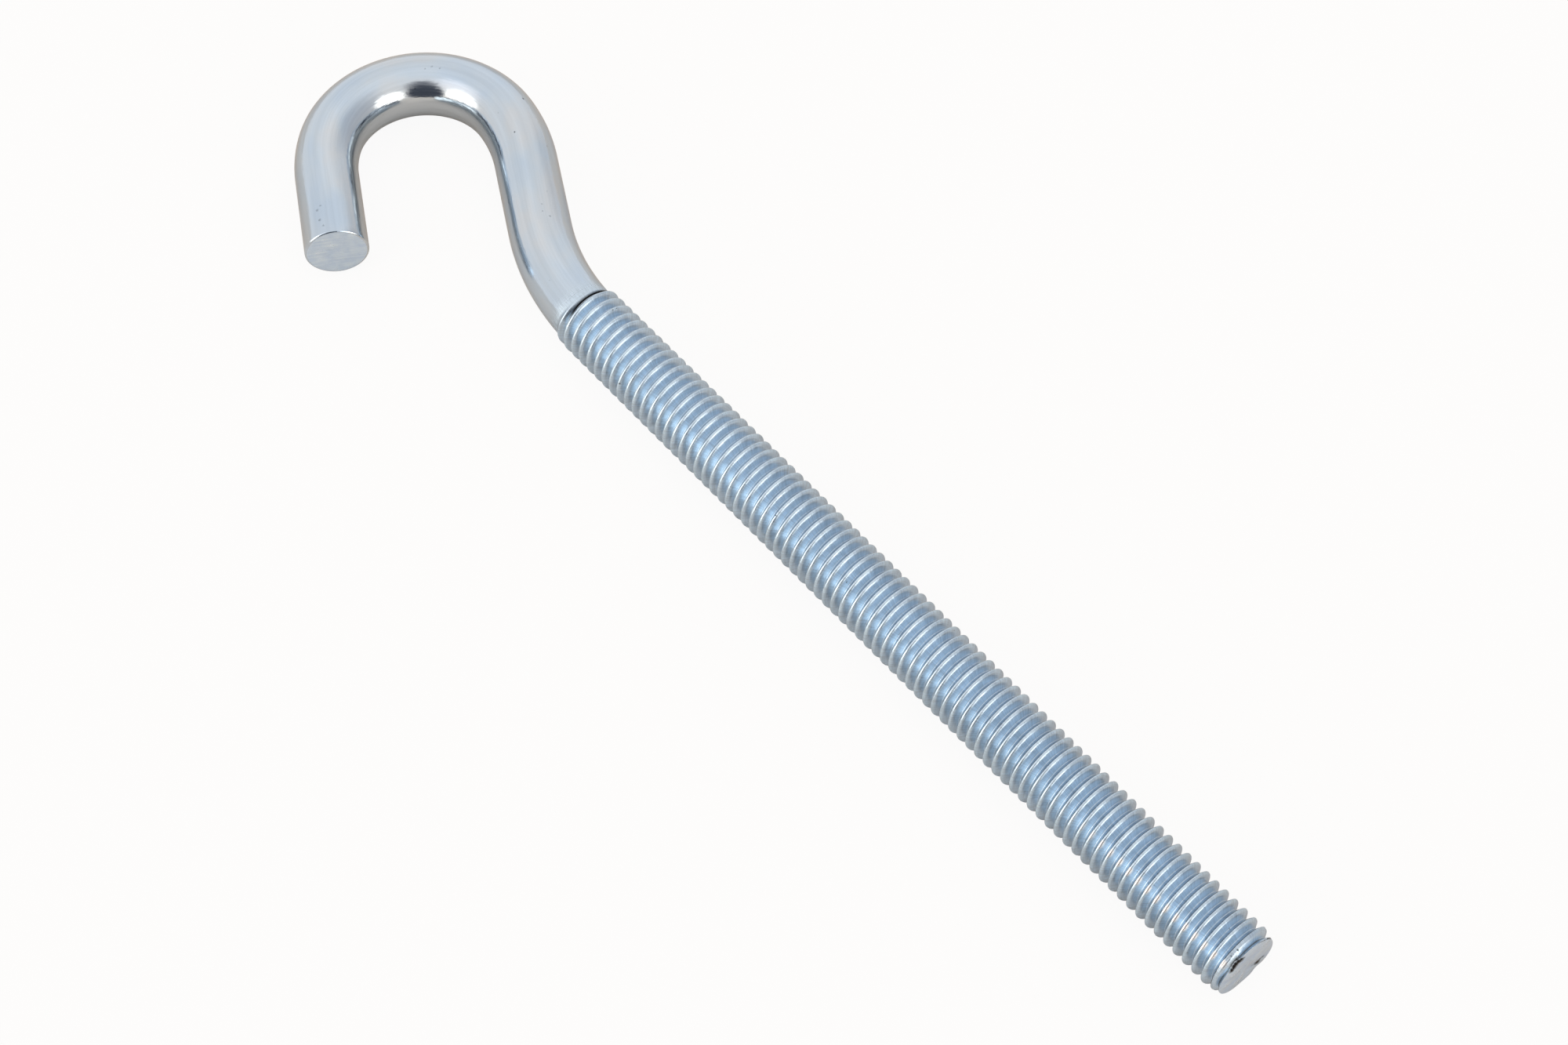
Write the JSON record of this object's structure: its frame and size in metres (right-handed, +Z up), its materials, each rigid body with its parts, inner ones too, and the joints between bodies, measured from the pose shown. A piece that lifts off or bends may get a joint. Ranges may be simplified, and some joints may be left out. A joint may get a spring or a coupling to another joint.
{
  "type": "hook bolt",
  "caption": "Hook bolt bent from round wire: a long threaded shank, an offset neck and an open round hook, in bright zinc-plated steel.",
  "frame": {"origin": "on the shank's axis, where the straight shank meets the neck bend", "axes": "+X along the straight shank towards its free end, the hook lies in the XY plane with its neck leg on the +Y side, +Z up as the bolt lies on a table"},
  "size_m": [0.0898, 0.0203, 0.005],
  "materials": {
    "bright_zinc": "bright zinc plating, pale with a blue tint"
  },
  "bodies": {
    "root": {"hook_bolt": "bright_zinc"}
  },
  "joints": []
}
